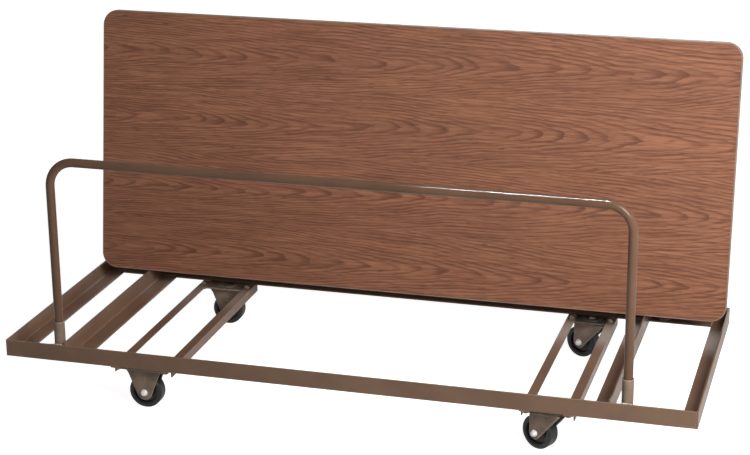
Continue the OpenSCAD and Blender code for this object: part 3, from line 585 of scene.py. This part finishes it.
def lay_bead(sketch, points, radius):
    """Draw a ring of edges along the points, thick and thin by turns, and close its end."""
    heading = (points[1] - points[0]).normalized()
    turned = heading.to_track_quat("Z", "Y").to_matrix().to_4x4()
    size = radius * BEAD_END
    ring = bmesh.ops.create_circle(sketch, cap_ends=True, segments=BEAD_SIDES, radius=size,
                                   matrix=Matrix.Translation(points[0]) @ turned)["verts"]
    rim = {edge for vert in ring for edge in vert.link_edges}
    for step in range(1, len(points)):
        grown = bmesh.ops.extrude_edge_only(sketch, edges=list(rim))["geom"]
        verts = [item for item in grown if isinstance(item, bmesh.types.BMVert)]
        edges = [item for item in grown if isinstance(item, bmesh.types.BMEdge)]
        rim = {edge for edge in edges if set(edge.verts) <= set(verts)}
        move = points[step] - points[step - 1]
        bmesh.ops.translate(sketch, verts=verts, vec=move)
        bmesh.ops.rotate(sketch, verts=verts, cent=points[step],
                         matrix=heading.rotation_difference(move).to_matrix())
        heading = move.normalized()
        ripple = (1.0 if step % 2 else EVEN_PUDDLE) * luck.uniform(*PUDDLE_SPREAD)
        wanted = radius * (BEAD_END if step == len(points) - 1 else ripple)
        bmesh.ops.scale(sketch, verts=verts, vec=Vector((1, 1, 1)) * (wanted / size),
                        space=Matrix.Translation(-points[step]))
        size = wanted
    bmesh.ops.contextual_create(sketch, geom=list(rim))


def finished_piece(name, sketch, place, body, finish):
    """Make a mesh object of a sketch drawn in millimetres, and let it ride on a body."""
    bmesh.ops.transform(sketch, matrix=place @ Matrix.Scale(0.001, 4), verts=sketch.verts[:])
    bmesh.ops.recalc_face_normals(sketch, faces=sketch.faces[:])
    mesh = bpy.data.meshes.new(name)
    sketch.to_mesh(mesh)
    sketch.free()
    mesh.polygons.foreach_set("use_smooth", [True] * len(mesh.polygons))
    mesh.materials.append(finish)
    piece = bpy.data.objects.new(name, mesh)
    scene.collection.objects.link(piece)
    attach(piece, body)
    print(name, len(mesh.polygons), "faces")


print("tray", tray_l, "by", tray_w, "mm")

# %% Welds of the tray
RAIL_LEG, RAIL_T = 45.0, 5.0
SOCKET_R, SOCKET_IN = 14.7, 20.0
STOUT, FULL, RING, FLAT, LIGHT, FINE = 2.6, 2.4, 2.2, 2.0, 1.8, 1.2  # bead radii
FOOT, HEAD = 8.0, 43.0  # ends of a bead that climbs an upright leg
FLAT_Z = RAIL_T + 0.2  # a bead on the flat legs
NEAR_TOE = RAIL_LEG - 1.0  # a bead's end, just short of a leg's toe
TOE = RAIL_LEG + 0.2  # a bead along the toe of a flat leg


def millimetres(node):
    """A node's lowest and highest corner, in millimetres from the tray's corner."""
    return [(Vector(corner) - tray_corner) * 1000 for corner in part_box(node)]


def front_socket_x(side):
    """How far along the tray a front socket's axis stands."""
    return sum(corner.x for corner in millimetres(f"front_{side}_socket")) / 2


def front_and_rear(sketch, points, radius):
    """The same bead at the front rail and, turned round, at the rear rail."""
    lay_bead(sketch, points, radius)
    lay_bead(sketch, [Vector((p.x, tray_w - p.y, p.z)) for p in points], radius)


def upright(x, y, foot, head):
    """Points up a seam."""
    return seam((x, y, foot), (x, y, head))


def lengthwise(start, end, y, z):
    """Points along a seam that runs with the front rail."""
    return seam((start, y, z), (end, y, z))


def crosswise(x, start, end, z):
    """Points along a seam that runs from the front rail inward."""
    return seam((x, start, z), (x, end, z))


def weld_socket(sketch, x):
    """On the rail's top edge, up both sides of the socket, and round its foot."""
    top_half, side_step = 11.0, 9.0
    front_and_rear(sketch, lengthwise(x - top_half, x + top_half, 3.4, RAIL_LEG + 0.4), STOUT)
    for step in (-side_step, side_step):
        front_and_rear(sketch, upright(x + step, 8.2, FOOT, NEAR_TOE), FULL)
    front_and_rear(sketch, round_seam((x, SOCKET_IN, RAIL_T + 1.0), SOCKET_R + 0.9, -25, 205), RING)


def weld_bearer(sketch, outer, inward):
    """Up both faces of a table bearer's upright leg, and round its flat leg."""
    off = 1.4
    for x in (outer - off * inward, outer + (RAIL_T + off) * inward):
        front_and_rear(sketch, upright(x, RAIL_T + off, FOOT, HEAD), FULL)
    front_and_rear(sketch, lengthwise(outer + 8 * inward, outer + 48 * inward, TOE, FLAT_Z), FLAT)
    front_and_rear(sketch, crosswise(outer - 0.8 * inward, 10, NEAR_TOE, RAIL_T + 1.0), FLAT)


def weld_corner(sketch, x, inward):
    """Along an end rail's flat leg, and up the corner inside and outside."""
    inside, outside = RAIL_T + 2.0, RAIL_T + 0.15
    front_and_rear(sketch, crosswise(x + TOE * inward, FOOT, NEAR_TOE, FLAT_Z), FLAT)
    front_and_rear(sketch, upright(x + inside * inward, inside, FOOT, HEAD), STOUT)
    front_and_rear(sketch, upright(x + outside * inward, 1.4, 2, HEAD), FINE)


def weld_hanger(sketch, low_x, high_x):
    """Under the rail, across a caster bearer."""
    front_and_rear(sketch, lengthwise(low_x + 3, high_x - 3, RAIL_LEG + 1.2, 0.6), LIGHT)


welds = bmesh.new()
for side in ("left", "right"):
    weld_socket(welds, front_socket_x(side))
    bearer_low, bearer_high = millimetres(f"{side}_table_bearer")
    inward = 1 if side == "left" else -1
    weld_bearer(welds, bearer_low.x if side == "left" else bearer_high.x, inward)
    weld_corner(welds, 0.0 if side == "left" else tray_l, inward)
    for place in ("outer", "inner"):
        hanger_low, hanger_high = millimetres(f"{side}_{place}_caster_bearer")
        weld_hanger(welds, hanger_low.x, hanger_high.x)
on_tray = Matrix.Translation(tray_corner)
finished_piece("tray_welds", welds, on_tray, "trolley_frame", weld_enamel_painted_glints)

# %% [markdown]
# Sparks of molten steel stick beside a weld as tiny beads. Some lie on the flat
# leg round each handle socket, and more on the narrow top of the rail in front
# of it, where the welder stood. They show that the frame was made by hand.

# %% Weld spatter
SPARKS = 14
FLAT_REACH, FLAT_SIZE = (3.5, 8.0), (0.5, 0.9)
TOP_RUN, TOP_DEPTH, TOP_SIZE = (-24, 14), (2.4, 3.4), (0.9, 2.1)


def spark(sketch, x, y, z, sizes):
    """One bead of spatter at the front rail, and one at the rear rail."""
    for spot_y in (y, tray_w - y):
        bmesh.ops.create_icosphere(sketch, subdivisions=1, radius=luck.uniform(*sizes),
                                   matrix=Matrix.Translation((x, spot_y, z)))


spatter = bmesh.new()
for side in ("left", "right"):
    socket_x = front_socket_x(side)
    for _ in range(SPARKS):
        angle = math.radians(luck.uniform(0, 180))
        reach = SOCKET_R + luck.uniform(*FLAT_REACH)
        flat_x, flat_y = socket_x + reach * math.cos(angle), SOCKET_IN + reach * math.sin(angle)
        spark(spatter, flat_x, flat_y, RAIL_T + 0.15, FLAT_SIZE)
        top_x, top_y = socket_x + luck.uniform(*TOP_RUN), luck.uniform(*TOP_DEPTH)
        spark(spatter, top_x, top_y, RAIL_LEG + 0.4, TOP_SIZE)
# The spatter takes the weld finish, whose near-white flecks are painted glints.
finished_piece("weld_spatter", spatter, on_tray, "trolley_frame", weld_enamel_painted_glints)

# %% [markdown]
# Behind the table, each leg frame has a stretcher rod welded between its legs,
# and saddle clamps screwed to the board. Both are drawn flat on the table and
# then leaned back with it.

# %% Welds of the leg frames
TABLE_AT = Vector((22.0, 587.0046, 52.9443))
TABLE_H = 756.0
ROD_R, ROD_INSET = 6.0, 149.8
ROD_X, ROD_DEPTH = 700.0, 28.7
ROD_BEAD = 1.5

leg_plane = Matrix.Translation(tray_corner + TABLE_AT / 1000) @ Matrix.Rotation(-TABLE_LEAN, 4, "X")
table_low, table_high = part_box("table_edge_band")
table_l = (table_high[0] - table_low[0]) * 1000
rod_welds = bmesh.new()
for rod_x in (ROD_X, table_l - ROD_X):
    for rod_v in (ROD_INSET, TABLE_H - ROD_INSET):
        lay_bead(rod_welds, round_seam((rod_x, ROD_DEPTH, rod_v), ROD_R + 0.5, 0, 350), ROD_BEAD)
finished_piece("leg_welds", rod_welds, leg_plane, "table", leg_enamel)

# %% Clamp screws
HEAD_R, HEAD_H, RECESS_DEEP = 4.2, 2.4, 1.0
HEAD_TAPER, RIM_SHARE = 0.72, 0.36
BACK_FACE = 21.5
CLAMP_X, CLAMP_V = 230.0, 507.3555
EAR, SCREW_STEP = 20.2, 8.0


def screw_head(sketch, x, v):
    """A tapered screw head on a clamp's ear, with a round recess."""
    seat = Matrix.Translation((x, BACK_FACE, v)) @ Matrix.Rotation(-math.pi / 2, 4, "X")
    head = bmesh.ops.create_cone(
        sketch, cap_ends=True, segments=20, radius1=HEAD_R, radius2=HEAD_R * HEAD_TAPER,
        depth=HEAD_H, matrix=seat @ Matrix.Translation((0, 0, HEAD_H / 2)))
    top = max({face for vert in head["verts"] for face in vert.link_faces},
              key=lambda face: face.calc_center_median().y)
    bmesh.ops.inset_individual(sketch, faces=[top], thickness=HEAD_R * RIM_SHARE)
    bmesh.ops.translate(sketch, verts=top.verts[:], vec=(0, -RECESS_DEEP, 0))


screws = bmesh.new()
for clamp_x in (CLAMP_X, table_l - CLAMP_X):
    for ear in (-EAR, EAR):
        for clamp_v in (CLAMP_V, TABLE_H - CLAMP_V):
            for screw_v in (clamp_v - SCREW_STEP, clamp_v + SCREW_STEP):
                screw_head(screws, clamp_x + ear, screw_v)
finished_piece("clamp_screws", screws, leg_plane, "table", zinc_painted_glare)
